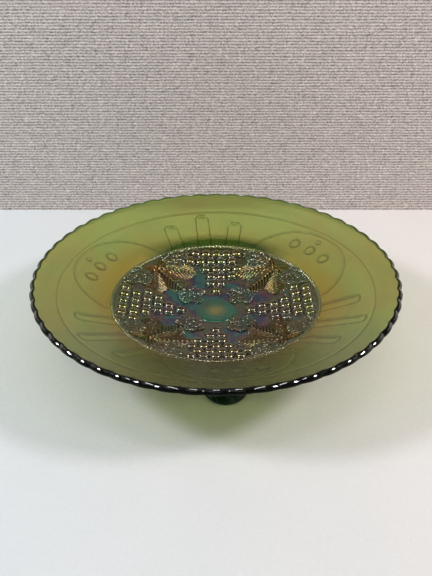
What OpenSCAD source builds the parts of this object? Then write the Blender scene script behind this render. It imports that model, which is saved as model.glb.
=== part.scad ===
// Footed pressed glass bowl with grape and leaf relief inside and thumbprints outside.
// The bowl is one pressing, so each node is one region that the mould forms.
// Origin on the standing plane under the bowl's centre, +Z up, one foot towards -Y.

/* [Bowl] */
// Diameter over the scallop tips
rim_d = 228.6; // [212:0.1:245]
// Height from the standing plane to the rim
bowl_h = 56; // [52:0.5:62]
// Depth from the rim down to the middle of the floor
bowl_depth = 31; // [28:0.5:33]
// Radius of the patterned floor, where the flared wall starts
floor_r = 67; // [66:0.5:69]
// Radius of the floor's dished curve, seen from the side
floor_curve_r = 206; // [190:1:240]
// Glass thickness of the floor, measured upright
floor_t = 4.6; // [4:0.1:5.5]
// Glass thickness at the rim, measured upright
rim_t = 3.5; // [3:0.1:4.4]

/* [Rim] */
// Number of scallops round the rim
scallops = 56; // [40:4:72]
// Depth of the notch between two scallops
notch_depth = 1.3; // [0.8:0.1:1.8]
// Radial width of the rim band
rim_band = 5.3; // [4:0.1:6]

/* [Feet] */
// Width of a foot across its tip
foot_w = 27.5; // [22:0.5:30]
// Distance from the bowl's axis to the toe of a foot
foot_toe_r = 63.5; // [60:0.5:66]
// Length of the flat sole from heel to toe
sole_l = 7; // [5:0.5:9]
// Width of the flat sole
sole_w = 9; // [6:0.5:14]
// Radius of the toe, seen from above
toe_curve_r = 19; // [16:0.5:30]

/* [Inside relief] */
// Turn of the grape pattern from the feet
pattern_turn = -6.5; // [-15:0.5:15]
// Diameter of one grape
grape_d = 6.8; // [5.6:0.1:7]
// Spacing of the grapes in a row and of the rows
grape_pitch = 7.2; // [7.1:0.1:7.4]
// Height of the leaves above the floor
leaf_rise = 1.1; // [0.6:0.1:1.6]
// Diameter of the plain medallion in the middle
medallion_d = 27; // [24:0.5:30]
// Width of the cable border at the floor's edge
border_w = 2.2; // [1.6:0.1:2.4]

/* [Outside relief] */
// Width of one thumbprint
thumb_w = 10; // [8:0.5:12]
// Diameter of one jewel
jewel_d = 8; // [6:0.5:9]
// Width of the raised lines
line_w = 1.2; // [0.8:0.1:1.6]
// Height of the raised outside work
outside_rise = 0.9; // [0.5:0.1:1.2]

/* [Hidden] */
$fn = 96;

rim_r = rim_d / 2;
band_r = rim_r - rim_band;
floor_z = bowl_h - bowl_depth;
floor_steps = 12;
reach = 200;

glass = [0.45, 0.46, 0.22];
dark_glass = [0.16, 0.22, 0.10];
bronze = [0.52, 0.42, 0.20];
leaf_green = [0.38, 0.40, 0.18];
teal = [0.12, 0.42, 0.38];
gold = [0.62, 0.50, 0.18];

// Rows of a bunch from its broad outer end to its tip: grapes, and the first grape's place in pitches
bunch_rows = [[5, -2], [5, -1.5], [4, -2], [3, -1.5], [2, -0.5], [1, 0]];
bunch_outer_y = 58.5;

// Places and sizes of the leaves: distance of the middle from the bowl's axis, and reach
sprig_r = 20;
sprig_size = [4.6, 7.2];
leaf_r = 44;
leaf_size = 15;
corner_leaf_r = 58.6;
corner_leaf_size = 5.4;
corner_leaf_turn = 14;
corner_leaf_tilt = 40;

// Heights of the medallion and the cable border, and how deep the grapes sit
medallion_rise = 0.9;
border_rise = 1;
grape_sink = 0.3;
border_gap = 0.3;

// Directions of the three feet, and of the three thumbprint groups between them
foot_angles = [270, 30, 150];
thumb_angles = [90, 210, 330];

// Places of the outside work: distance from the bowl's axis, and turn from the middle of its group
thumb_inner_r = 70;
thumb_outer_r = 86;
thumb_middle_r = 92;
thumb_turn = 15.7;
jewel_r = 84;
small_jewel_r = 92;
jewel_turn = 9.5;
jewel_shift = 2;
arch_top_r = 97;
arch_foot_r = 70;
arch_half = 33;

// Height of the inside and the outside surface at radius r
function dish(r) = floor_curve_r - sqrt(pow(floor_curve_r, 2) - pow(r, 2));
function flare(r) = (r - floor_r) / (rim_r - floor_r);
function inside_z(r) = r <= floor_r
    ? floor_z + dish(r)
    : floor_z + dish(floor_r) + flare(r) * (bowl_depth - dish(floor_r));
function glass_t(r) = r <= floor_r ? floor_t : floor_t + flare(r) * (rim_t - floor_t);
function outside_z(r) = inside_z(r) - glass_t(r);

// Radii of the floor's steps that lie strictly between two radii
function steps_between(r0, r1) = [
    for (i = [1 : floor_steps - 1]) let (r = floor_r * i / floor_steps) if (r > r0 + 0.05 && r < r1 - 0.05) r
];
function radii(r0, r1) = concat([r0], steps_between(r0, r1), [r1]);
function reversed(list) = [for (i = [len(list) - 1 : -1 : 0]) list[i]];

// Point on a curve from a to c that leans towards b
function bend(a, b, c, t) = pow(1 - t, 2) * a + 2 * t * (1 - t) * b + pow(t, 2) * c;

// Band of revolution between the inside surface and the outside surface
module wall_band(r0, r1) {
    rs = radii(r0, r1);
    rotate_extrude()
        polygon(concat(
            [for (r = rs) [r, outside_z(r)]],
            [for (r = reversed(rs)) [r, inside_z(r)]]
        ));
}

// Skin of a given rise on the inside surface
module inside_skin(r0, r1, rise) {
    rs = radii(r0, r1);
    rotate_extrude()
        polygon(concat(
            [for (r = rs) [r, inside_z(r)]],
            [for (r = reversed(rs)) [r, inside_z(r) + rise]]
        ));
}

// Skin of a given rise under the outside surface of the flared wall
module outside_skin(rise) {
    rotate_extrude()
        polygon([
            [floor_r, outside_z(floor_r) - rise],
            [band_r, outside_z(band_r) - rise],
            [band_r, outside_z(band_r)],
            [floor_r, outside_z(floor_r)]
        ]);
}

// Tall prism of the child outline, to cut a shape out of a skin
module upright() {
    linear_extrude(height = reach, center = true) children();
}

module bowl_floor() {
    color(glass) wall_band(0, floor_r);
}

module flared_wall() {
    color(glass) wall_band(floor_r, band_r);
}

// Outline of the rim: round scallops that meet in sharp notches
module rim_outline() {
    points_each = 8;
    count = scallops * points_each;
    polygon([
        for (i = [0 : count - 1])
            let (a = 360 * i / count, r = rim_r - notch_depth * (1 - abs(cos(a * scallops / 2))))
                [r * cos(a), r * sin(a)]
    ]);
}

module scalloped_rim() {
    color(dark_glass)
        intersection() {
            wall_band(band_r, rim_r + 1);
            upright() rim_outline();
        }
}

// Side outline of a foot: a curved tongue whose toe turns outwards
module foot_side() {
    steps = 8;
    toe = [foot_toe_r, 2.4];
    heel = [foot_toe_r - 1.6 - sole_l, 0];
    shin = [for (i = [0 : steps]) bend([66, 34], [54.5, 15], toe, i / steps)];
    calf = [for (i = [0 : steps]) bend(heel, [52, 17], [40, 27], i / steps)];
    polygon(concat(shin, [[foot_toe_r - 0.4, 0.7], [foot_toe_r - 1.6, 0]], calf));
}

// Front outline of a foot: a spatula with a broad round tip and a short flat to stand on
module foot_face() {
    tip_w = (foot_w - sole_w) / 2;
    tip_h = 6;
    waist = foot_w * 0.36;
    shoulder = foot_w * 0.46;
    tip = [
        for (i = [0 : 8])
            let (a = -90 + 90 * i / 8)
                [sole_w / 2 + tip_w * cos(a), tip_h * (1 + sin(a))]
    ];
    right = concat(tip, [[foot_w / 2, 9], [waist, 20], [shoulder, 34]]);
    polygon(concat(right, [for (p = reversed(right)) [-p[0], p[1]]]));
}

module foot(angle) {
    color(dark_glass)
        rotate(angle)
            difference() {
                intersection() {
                    rotate([90, 0, 0]) linear_extrude(height = foot_w, center = true) foot_side();
                    rotate([90, 0, 90]) linear_extrude(height = reach) foot_face();
                    toe_round();
                }
                under_glass();
            }
}

// Upright cylinder that rounds the toe, seen from above, and lets the top of the foot spread
module toe_round() {
    translate([foot_toe_r - toe_curve_r, 0, 0]) cylinder(r = toe_curve_r, h = 12);
    translate([0, -foot_w, 12]) cube([reach, 2 * foot_w, 30]);
}

// Everything above the outside surface, which a foot is cut back to
module under_glass() {
    rs = radii(0, floor_r);
    rotate_extrude()
        polygon(concat(
            [for (r = rs) [r, outside_z(r)]],
            [[band_r, outside_z(band_r)], [band_r, bowl_h + 5], [0, bowl_h + 5]]
        ));
}

module centre_medallion() {
    color(teal) inside_skin(0, medallion_d / 2, medallion_rise);
}

// Small serrated leaf, long across the bowl's radius
module sprig_outline() {
    teeth = 11;
    count = teeth * 4;
    polygon([
        for (i = [0 : count - 1])
            let (a = 360 * i / count, tooth = 1 + 0.1 * cos(a * teeth))
                [sprig_size[0] * tooth * cos(a), sprig_size[1] * tooth * sin(a)]
    ]);
}

module leaf_sprigs() {
    color(gold)
        intersection() {
            inside_skin(medallion_d / 2, 30, leaf_rise);
            for (i = [0 : 3])
                rotate(pattern_turn + 45 + 90 * i) translate([sprig_r, 0]) upright() sprig_outline();
        }
}

module cable_border() {
    color(leaf_green) inside_skin(floor_r - border_w, floor_r, border_rise);
}

// Five-lobed vine leaf of a given reach, pointing along +X
module vine_outline(size) {
    count = 60;
    polygon([
        for (i = [0 : count - 1])
            let (a = 360 * i / count, lobe = 0.58 + 0.36 * abs(cos(a * 2.5)) + 0.06 * cos(a * 15))
                [size * lobe * cos(a), size * lobe * sin(a)]
    ]);
}

module vine_leaf(quarter) {
    color(leaf_green)
        intersection() {
            inside_skin(20, 64, leaf_rise);
            rotate(pattern_turn + 45 + 90 * quarter) translate([leaf_r, 0]) upright() vine_outline(leaf_size);
        }
}

module corner_leaves() {
    color(leaf_green)
        intersection() {
            inside_skin(floor_r - 22, floor_r - border_w - border_gap, leaf_rise);
            for (i = [0 : 3], side = [-1, 1])
                rotate(pattern_turn + 45 + 90 * i + side * corner_leaf_turn)
                    translate([corner_leaf_r, 0])
                        rotate(side * corner_leaf_tilt) upright() vine_outline(corner_leaf_size);
        }
}

module grape_bunch(quarter) {
    color(bronze)
        intersection() {
            inside_skin(medallion_d / 2, floor_r - border_w - border_gap, grape_d);
            rotate(pattern_turn + 90 * quarter)
                for (row = [0 : len(bunch_rows) - 1], i = [0 : bunch_rows[row][0] - 1])
                    let (x = bunch_outer_y - row * grape_pitch, y = (bunch_rows[row][1] + i) * grape_pitch)
                        translate([x, y, inside_z(norm([x, y])) - grape_sink]) sphere(d = grape_d, $fn = 32);
        }
}

// Three fingers with round outer ends on the outside of the wall, the middle one longer
module thumbprints(angle) {
    color(glass)
        intersection() {
            outside_skin(outside_rise);
            for (spot = [[-thumb_turn, thumb_outer_r], [0, thumb_middle_r], [thumb_turn, thumb_outer_r]])
                rotate(angle + spot[0])
                    upright() {
                        translate([thumb_inner_r, -thumb_w / 2]) square([spot[1] - thumb_inner_r, thumb_w]);
                        translate([spot[1], 0]) circle(d = thumb_w);
                    }
        }
}

// Domed jewel at radius r, its centre on the outside surface
module jewel(r, d) {
    crown = d * 0.16;
    ball = (pow(d / 2, 2) + pow(crown, 2)) / (2 * crown);
    translate([r, 0, outside_z(r) - crown + ball]) sphere(r = ball, $fn = 64);
}

module jewels(angle) {
    color(dark_glass)
        intersection() {
            outside_skin(outside_rise * 3);
            rotate(angle + jewel_shift) {
                for (turn = [-jewel_turn, 0, jewel_turn]) rotate(turn) jewel(jewel_r, jewel_d);
                jewel(small_jewel_r, jewel_d / 2);
            }
        }
}

// Arched line over a jewel group, from the floor's edge on one side to the other
module arch(angle) {
    steps = 16;
    fall = arch_top_r - arch_foot_r;
    line = [
        for (i = [-steps : steps])
            [arch_half * i / steps, arch_top_r - fall * pow(abs(i) / steps, 2.4)]
    ];
    color(dark_glass)
        intersection() {
            outside_skin(outside_rise);
            rotate(angle)
                upright()
                    polygon(concat(
                        [for (p = line) (p[1] + line_w / 2) * [cos(p[0]), sin(p[0])]],
                        [for (p = reversed(line)) (p[1] - line_w / 2) * [cos(p[0]), sin(p[0])]]
                    ));
        }
}

module wall_ring() {
    inner = arch_top_r + line_w / 2 + 1;
    outer = inner + line_w;
    color(dark_glass)
        rotate_extrude()
            polygon([
                [inner, outside_z(inner)],
                [inner, outside_z(inner) - outside_rise],
                [outer, outside_z(outer) - outside_rise],
                [outer, outside_z(outer)]
            ]);
}

bowl_floor();
flared_wall();
scalloped_rim();
foot(foot_angles[0]);  // foot_front
foot(foot_angles[1]);  // foot_back_right
foot(foot_angles[2]);  // foot_back_left
centre_medallion();
leaf_sprigs();
cable_border();
corner_leaves();
grape_bunch(3);  // grape_bunch_front
grape_bunch(0);  // grape_bunch_right
grape_bunch(1);  // grape_bunch_back
grape_bunch(2);  // grape_bunch_left
vine_leaf(3);  // vine_leaf_front_right
vine_leaf(0);  // vine_leaf_back_right
vine_leaf(1);  // vine_leaf_back_left
vine_leaf(2);  // vine_leaf_front_left
thumbprints(thumb_angles[0]);  // thumbprints_back
thumbprints(thumb_angles[1]);  // thumbprints_front_left
thumbprints(thumb_angles[2]);  // thumbprints_front_right
jewels(foot_angles[0]);  // jewels_front
jewels(foot_angles[1]);  // jewels_back_right
jewels(foot_angles[2]);  // jewels_back_left
arch(foot_angles[0]);  // arch_front
arch(foot_angles[1]);  // arch_back_right
arch(foot_angles[2]);  // arch_back_left
wall_ring();
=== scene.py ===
import math

import bmesh
import bpy
import numpy as np
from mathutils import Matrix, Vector


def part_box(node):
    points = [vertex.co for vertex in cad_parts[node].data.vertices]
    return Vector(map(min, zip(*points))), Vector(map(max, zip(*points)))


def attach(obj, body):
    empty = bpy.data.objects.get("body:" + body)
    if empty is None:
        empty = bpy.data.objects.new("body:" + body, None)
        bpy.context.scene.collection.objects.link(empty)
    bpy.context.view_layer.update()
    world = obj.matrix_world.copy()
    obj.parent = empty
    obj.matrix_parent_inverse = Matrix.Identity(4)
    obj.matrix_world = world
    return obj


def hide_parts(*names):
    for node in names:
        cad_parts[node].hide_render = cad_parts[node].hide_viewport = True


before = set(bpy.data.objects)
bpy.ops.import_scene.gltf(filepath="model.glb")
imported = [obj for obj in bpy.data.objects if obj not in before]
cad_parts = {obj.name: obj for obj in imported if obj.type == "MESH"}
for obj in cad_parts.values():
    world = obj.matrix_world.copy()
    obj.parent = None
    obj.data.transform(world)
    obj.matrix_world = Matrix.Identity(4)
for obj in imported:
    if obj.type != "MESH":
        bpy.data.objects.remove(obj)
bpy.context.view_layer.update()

mm = 0.001

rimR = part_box("scalloped_rim")[1].x
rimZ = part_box("scalloped_rim")[1].z
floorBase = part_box("bowl_floor")[0].z

bowl = {
    "floorR": 67 * mm,  # where the pattern stops and the wall flares
    "floorCurve": 206 * mm,  # radius of the dished floor, from the side
    "floorThick": 4.6 * mm,
    "rimThick": 3.5 * mm,
    "scallops": 56,
    "notch": 1.3 * mm,
    "notchFade": 3.5 * mm,  # how far in from the edge the scallops reach
    "dip": 0.55 * mm,  # how far the top of the lip drops between scallops
    "lipRound": 1.4 * mm,
    "lip": [  # section of the edge: share of the rounding, height from -1 under to 1 on top
        (0.05, 1),
        (0.16, 0.96),
        (0.5, 0.75),
        (0.86, 0.52),
        (0.96, 0.4),
        (1, 0.1),
        (0.97, -0.5),
        (0.8, -0.84),
        (0.45, -1),
    ],
    "segmentsPerScallop": 18,
    "eye": 2 * mm,  # radius of the smallest ring, round the middle of the floor
    "thinLip": 0.35,  # share of the notches that the underside of the lip keeps
    "patternTurn": math.radians(-6.5),
}
feetAt = [math.radians(a) for a in (270, 30, 150)]
floorR = bowl["floorR"]
floorZ = floorBase + bowl["floorThick"]


def smooth(lo, hi, value):
    t = np.clip((value - lo) / (hi - lo), 0, 1)
    return t * t * (3 - 2 * t)


def dish(r):
    c = bowl["floorCurve"]
    return c - np.sqrt(c * c - np.minimum(r, floorR) ** 2)


def flare(r):
    return np.clip((r - floorR) / (rimR - floorR), 0, 1)


def insideZ(r):
    return floorZ + dish(r) + flare(r) * (rimZ - floorZ - dish(floorR))


def outsideZ(r):
    return insideZ(r) - bowl["floorThick"] - flare(r) * (bowl["rimThick"] - bowl["floorThick"])


def addToScene(name, data):
    piece = bpy.data.objects.new(name, data)
    bpy.context.scene.collection.objects.link(piece)
    return piece


def newPiece(name, verts, faces, crest=None):
    mesh = bpy.data.meshes.new(name)
    mesh.from_pydata([tuple(v) for v in verts], [], [tuple(f) for f in faces])
    mesh.validate()
    mesh.update()
    mesh.polygons.foreach_set("use_smooth", [True] * len(mesh.polygons))
    if crest is not None:
        # 0 in the grooves, 1 on the tops; the lustre uses it for painted shade in the grooves and
        # painted highlight on the tops, besides the lustre the high points keep
        high = mesh.attributes.new("crest", "FLOAT", "POINT")
        high.data.foreach_set("value", np.asarray(crest, dtype=np.float32))
    return addToScene(name, mesh)


def tubeFaces(rings, around):
    # quads from each ring of points to the next, with both ends left open
    faces = []
    for i in range(rings - 1):
        this, after = i * around, (i + 1) * around
        for j in range(around):
            k = (j + 1) % around
            faces.append([this + j, after + j, after + k, this + k])
    return faces


def joinPieces(name, pieces):
    # several separate solids that count as one piece
    verts, faces, crest = [], [], []
    for piece in pieces:
        start = len(verts)
        verts += [tuple(v.co) for v in piece.data.vertices]
        faces += [[start + i for i in p.vertices] for p in piece.data.polygons]
        crest += [d.value for d in piece.data.attributes["crest"].data]
        bpy.data.objects.remove(piece)
    return newPiece(name, verts, faces, crest)


def soften(height, cells):
    shifts = range(-cells, cells + 1)
    for axis in (0, 0, 1, 1):
        height = sum(np.roll(height, shift, axis) for shift in shifts) / (2 * cells + 1)
    return height


relief = {
    "keepAbove": -0.2 * mm,  # a pad covers the floor where its height is above this
    "lowest": -0.3 * mm,
    "sink": 0.45 * mm,  # how far the underside of a pad lies in the floor
    "insideBorder": 1.2 * mm,
    "crestSpan": 0.7 * mm,  # width and height over which grooves turn into crests
}


def reliefPiece(name, heightAt, low, high, step, place, turn):
    # a closed pad on the bowl's floor, heightAt(u, v) above it
    us = np.arange(low[0], high[0] + step, step)
    vs = np.arange(low[1], high[1] + step, step)
    u, v = np.meshgrid(us, vs, indexing="ij")
    h = heightAt(u, v)
    lx, ly = place + u, v
    x = lx * math.cos(turn) - ly * math.sin(turn)
    y = lx * math.sin(turn) + ly * math.cos(turn)
    r = np.hypot(x, y)
    inside = (h > relief["keepAbove"]) & (r < floorR - relief["insideBorder"])
    cells = inside[:-1, :-1] | inside[1:, :-1] | inside[:-1, 1:] | inside[1:, 1:]
    h = np.maximum(h, relief["lowest"])
    span = relief["crestSpan"]
    # crest: the lustre paints shade in the grooves and a highlight on the tops from it
    crest = np.clip(0.5 + (h - soften(h, round(span / step))) / span, 0, 1)
    crest = np.concatenate([crest.ravel(), np.full(crest.size, 0.5)])
    top = insideZ(r) + h
    bottom = insideZ(r) - relief["sink"]
    ids = np.arange(u.size).reshape(u.shape)
    n = u.size
    a, b, c, d = ids[:-1, :-1], ids[1:, :-1], ids[1:, 1:], ids[:-1, 1:]
    a, b, c, d = a[cells], b[cells], c[cells], d[cells]
    faces = [np.stack([a, b, c, d], 1), np.stack([d, c, b, a], 1) + n]
    padded = np.pad(cells, 1)
    grid = [(a, b, (0, -1)), (b, c, (1, 0)), (c, d, (0, 1)), (d, a, (-1, 0))]
    ci, cj = np.nonzero(cells)
    for p, q, (di, dj) in grid:
        edge = ~padded[ci + 1 + di, cj + 1 + dj]
        faces.append(np.stack([q[edge], p[edge], p[edge] + n, q[edge] + n], 1))
    faces = np.concatenate(faces)
    verts = np.concatenate([np.stack([x, y, z], -1).reshape(-1, 3) for z in (top, bottom)])
    used, index = np.unique(faces, return_inverse=True)
    return newPiece(name, verts[used], index.reshape(faces.shape), crest[used])


outside = {
    "thumbs": [math.radians(a) for a in (90, 210, 330)],
    "thumbTurn": math.radians(15.7),
    "thumbWide": 10 * mm,
    "thumbFrom": 69 * mm,
    "thumbTo": 86 * mm,
    "middleThumbTo": 92 * mm,
    "jewelAt": 84 * mm,
    "smallJewelAt": 92 * mm,
    "jewelTurn": math.radians(9.5),
    "jewelShift": math.radians(2),
    "jewelWide": 8 * mm,
    "archTop": 97 * mm,
    "archFoot": 70 * mm,
    "archHalf": math.radians(33),
    "ringAt": 99.2 * mm,
    "lineWide": 1.1 * mm,
    "rise": 1.1 * mm,
    "steep": 0.42,  # slope above which the moulded work takes the darker edge glass, a painted shade outline
    "jewelHigh": 1.5 * mm,
    "archHigh": 0.5 * mm,
    "archBend": 2.4,  # 2 is a parabola, more has flatter tops and steeper feet
    "ringHigh": 0.35 * mm,
    "plainRings": (110.5 * mm, 107 * mm, 103 * mm),
    "workTo": 101 * mm,  # the moulded work lies inside this radius
    "step": 0.56 * mm,
}
floorSlot, wallSlot, rimSlot, outsideSlot, edgeSlot, lipSlot = range(6)


def outsideRelief(r, a):
    # height of the moulded work on the outside of the wall
    o = outside
    lineSoft = o["lineWide"] / 1.6
    height = np.zeros_like(r)
    for group in o["thumbs"]:
        for turn in (-o["thumbTurn"], 0, o["thumbTurn"]):
            x, y = r * np.cos(a - group - turn), r * np.sin(a - group - turn)
            half = o["thumbWide"] / 2
            tip = x - np.clip(x, o["thumbFrom"], o["thumbTo"] if turn else o["middleThumbTo"])
            away = (np.abs(tip) ** 2.6 + np.abs(y) ** 2.6) ** (1 / 2.6) - half
            pad = 1 - smooth(-0.9 * mm, 0.15 * mm, away)
            flute = 1 - 0.75 * np.clip(1 - (away + half) ** 2 / (half - 0.9 * mm) ** 2, 0, 1)
            height = np.maximum(height, np.where(x > 0, o["rise"] * pad * flute, 0))
    for group in feetAt:
        for side, size in [(-1, 1), (0, 1), (1, 1), (0, 0.5)]:
            at = o["jewelAt"] if size == 1 else o["smallJewelAt"]
            turn = group + o["jewelShift"] + side * o["jewelTurn"]
            away = np.hypot(r * np.cos(a) - at * math.cos(turn), r * np.sin(a) - at * math.sin(turn))
            dome = np.clip(1 - (away / (size * o["jewelWide"] / 2)) ** 2, 0, 1) ** 0.7
            height = np.maximum(height, o["jewelHigh"] * size * dome)
        across = np.abs((a - group + math.pi) % (2 * math.pi) - math.pi)
        t = np.clip(across / o["archHalf"], 0, 1)
        tall, power = o["archTop"] - o["archFoot"], o["archBend"]
        line = o["archTop"] - tall * t**power
        slope = tall * power * t ** (power - 1) / o["archHalf"] / np.maximum(r, floorR)
        away = np.abs(r - line) / np.sqrt(1 + slope**2)
        bead = np.where(across <= o["archHalf"], np.exp(-((away / lineSoft) ** 2)), 0)
        height = np.maximum(height, o["archHigh"] * bead)
    bead = np.exp(-(((r - o["ringAt"]) / lineSoft) ** 2))
    return np.maximum(height, o["ringHigh"] * bead)


def makeShell():
    count = bowl["scallops"] * bowl["segmentsPerScallop"]
    a = np.arange(count) * 2 * math.pi / count
    cut = bowl["notch"] * (1 - np.abs(np.cos(a * bowl["scallops"] / 2)))
    lipR = rimR - bowl["lipRound"]
    plainR = lipR - bowl["notchFade"]
    insideR = [*np.linspace(bowl["eye"], floorR, 12), *np.linspace(floorR, plainR, 8)[1:]]
    insideR += [*np.linspace(plainR, lipR, 4)[1:]]
    outsideR = [lipR, *outside["plainRings"]]
    outsideR += [*np.arange(outside["workTo"], floorR, -outside["step"])]
    outsideR += [*np.linspace(floorR, bowl["eye"], 9)]
    ringsR, ringsZ, kinds, rises = [], [], [], []

    def addRing(r, z, kind, rise=0, top=0, share=1):
        edge = smooth(lipR - bowl["notchFade"], lipR, r)
        ringsR.append(r - cut * edge * share)
        ringsZ.append(z - cut / bowl["notch"] * bowl["dip"] * edge * top)
        kinds.append(kind)
        rises.append(rise + np.zeros(count))

    for r in insideR:
        kind = floorSlot if r <= floorR + 1e-6 else wallSlot if r < lipR - 1e-6 else lipSlot
        addRing(r, insideZ(r), kind, top=1)
    top, bottom = float(insideZ(lipR)), float(outsideZ(lipR))
    for out, lift in bowl["lip"]:
        z = (top + bottom) / 2 + (top - bottom) / 2 * lift
        share = bowl["thinLip"] + (1 - bowl["thinLip"]) * (lift + 1) / 2
        kind = rimSlot if lift > 0.4 else lipSlot
        addRing(lipR + bowl["lipRound"] * out, z, kind, top=max(lift, 0), share=share)
    lean = math.atan2(float(outsideZ(rimR) - outsideZ(floorR)), rimR - floorR)
    for r in outsideR:
        worked = floorR < r <= outside["workTo"]
        rise = outsideRelief(np.full(count, float(r)), a) if worked else np.zeros(count)
        out, z = r + rise * math.sin(lean), outsideZ(r) - rise * math.cos(lean)
        addRing(out, z, outsideSlot, rise, share=bowl["thinLip"])
    rings = len(ringsR)
    rr, zz = np.array(ringsR), np.array(ringsZ)
    verts = np.stack([rr * np.cos(a), rr * np.sin(a), zz], -1).reshape(-1, 3)
    verts = np.concatenate([verts, [[0, 0, float(insideZ(0.0))], [0, 0, float(outsideZ(0.0))]]])
    j = np.arange(count)
    k = (j + 1) % count
    faces, slots = [], []
    for i in range(rings - 1):
        this, after = i * count, (i + 1) * count
        faces.append(np.stack([this + j, after + j, after + k, this + k], 1))
        outward = (rises[i + 1] - rises[i]) / np.maximum(np.abs(rr[i + 1] - rr[i]), 0.4 * mm)
        sideways = (rises[i][k] - rises[i][j]) / (rr[i] * 2 * math.pi / count)
        steep = np.hypot(outward, sideways) > outside["steep"]
        kind = kinds[i] if kinds[i] == lipSlot else max(kinds[i], kinds[i + 1])
        # steep faces take the darker edge glass, painted shade that outlines the moulded work
        slots += np.where(steep, edgeSlot, kind).tolist()
    faces = np.concatenate(faces).tolist()
    last = (rings - 1) * count
    faces += [[int(p), int(q), len(verts) - 2] for p, q in zip(j, k)]
    faces += [[int(last + q), int(last + p), len(verts) - 1] for p, q in zip(j, k)]
    slots += [floorSlot] * count + [outsideSlot] * count
    shell = newPiece("bowlShell", verts, faces)
    for make in (floorLustre, wallLustre, rimGlass, outsideGlass, edgeShadeGlass, lipSide):
        shell.data.materials.append(make())
    shell.data.polygons.foreach_set("material_index", slots)
    return shell


foot = {
    "wide": 27.5 * mm,
    "soleWide": 9 * mm,
    "toeR": 63.5 * mm,
    "toeThick": 2.4 * mm,
    "toeRound": 1.6 * mm,
    "toeFrom": 0.94,  # share of the way down where the toe starts to round over
    "tipHigh": 6 * mm,
    "soleLong": 7 * mm,
    "toeCurve": 19 * mm,
    # radius and height of the front and back curves, from the bowl down
    "front": ((66 * mm, 34 * mm), (54.5 * mm, 15 * mm)),
    "back": ((40 * mm, 27 * mm), (52 * mm, 17 * mm)),
    "rows": 44,
    "around": 40,
    "squareness": 2.7,
}


def bend(a, b, c, t):
    return tuple((1 - t) ** 2 * p + 2 * t * (1 - t) * q + t * t * s for p, q, s in zip(a, b, c))


def footHalfWide(z):
    tip = (foot["wide"] - foot["soleWide"]) / 2
    if z < foot["tipHigh"]:
        return foot["soleWide"] / 2 + tip * math.sqrt(max(0, 1 - (1 - z / foot["tipHigh"]) ** 2))
    t = float(smooth(8 * mm, 19 * mm, z)) - 0.45 * float(smooth(21 * mm, 34 * mm, z))
    return foot["wide"] / 2 * (1 - 0.29 * t)


def makeFoot(name, angle):
    toeR, toeThick, toeRound = foot["toeR"], foot["toeThick"], foot["toeRound"]
    toeFrom = foot["toeFrom"]
    heelR = toeR - toeRound - foot["soleLong"]
    verts = []
    for i in range(foot["rows"] + 1):
        t = 1 - (1 - i / foot["rows"]) ** 1.6  # rows lie closer together at the toe
        out = bend(*foot["front"], (toeR, toeThick), min(t / toeFrom, 1))
        if t > toeFrom:
            turn = (t - toeFrom) / (1 - toeFrom) * math.pi / 2
            out = (toeR - toeRound * (1 - math.cos(turn)), toeThick * (1 - math.sin(turn)))
        back = bend(*foot["back"], (heelR, 0), t)
        for k in range(foot["around"]):
            w = 2 * math.pi * k / foot["around"]
            along = math.copysign(abs(math.cos(w)) ** (2 / foot["squareness"]), math.cos(w))
            side = math.copysign(abs(math.sin(w)) ** (2 / foot["squareness"]), math.sin(w))
            r = (out[0] + back[0]) / 2 + along * (out[0] - back[0]) / 2
            z = (out[1] + back[1]) / 2 + along * (out[1] - back[1]) / 2
            across = side * footHalfWide(max(z, 0))
            pull = foot["toeCurve"] - math.sqrt(foot["toeCurve"] ** 2 - across**2)
            r -= pull * (0.5 + 0.5 * along) * (1 - float(smooth(6 * mm, 22 * mm, z)))
            x = r * math.cos(angle) - across * math.sin(angle)
            y = r * math.sin(angle) + across * math.cos(angle)
            verts.append((x, y, z))
    n = foot["around"]
    faces = tubeFaces(foot["rows"] + 1, n)
    faces.append(list(range(n)))
    faces.append([foot["rows"] * n + k for k in range(n)][::-1])
    return newPiece(name, verts, faces)


grapes = {
    # from the broad end: how many grapes, place of the first one
    "rows": [(5, -2), (5, -1.5), (4, -2), (3, -1.5), (2, -0.5), (1, 0)],
    "pitch": 7.2 * mm,
    "outerAt": 58.5 * mm,
    "ball": 4.0 * mm,
    "sunk": 1.2 * mm,
    "blend": 0.14 * mm,
    "web": 0.15 * mm,  # skin of glass that fills the gaps between grapes
    "webReach": 4.6 * mm,
    "stray": 0.3 * mm,  # how far a grape may lie from its place
    "sizes": (0.95, 1.03),
    "step": 0.3 * mm,
}


def makeBunch(name, quarter, seed):
    g = grapes
    rng = np.random.default_rng(seed)
    places = []
    for row, (count, first) in enumerate(g["rows"]):
        for i in range(count):
            strayU, strayV = rng.uniform(-g["stray"], g["stray"], 2)
            u, v = -row * g["pitch"] + strayU, (first + i) * g["pitch"] + strayV
            places.append((u, v, rng.uniform(*g["sizes"])))

    def heightAt(u, v):
        total = np.zeros_like(u)
        near = np.full_like(u, 1.0)
        for pu, pv, size in places:
            inside = (g["ball"] * size) ** 2 - (u - pu) ** 2 - (v - pv) ** 2
            ball = np.sqrt(np.maximum(inside, 0)) - g["sunk"] - 1.2 * np.sqrt(np.maximum(-inside, 0))
            total += np.exp(np.clip(ball / g["blend"], -60, 60))
            near = np.minimum(near, np.hypot(u - pu, v - pv))
        web = g["web"] - 0.8 * np.maximum(near - g["webReach"], 0)
        return np.maximum(g["blend"] * np.log(total), web)

    low = (-len(g["rows"]) * g["pitch"], -2.7 * g["pitch"])
    high = (4.6 * mm, 3.2 * g["pitch"])
    turn = bowl["patternTurn"] + quarter * math.pi / 2
    return reliefPiece(name, heightAt, low, high, g["step"], g["outerAt"], turn)


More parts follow.
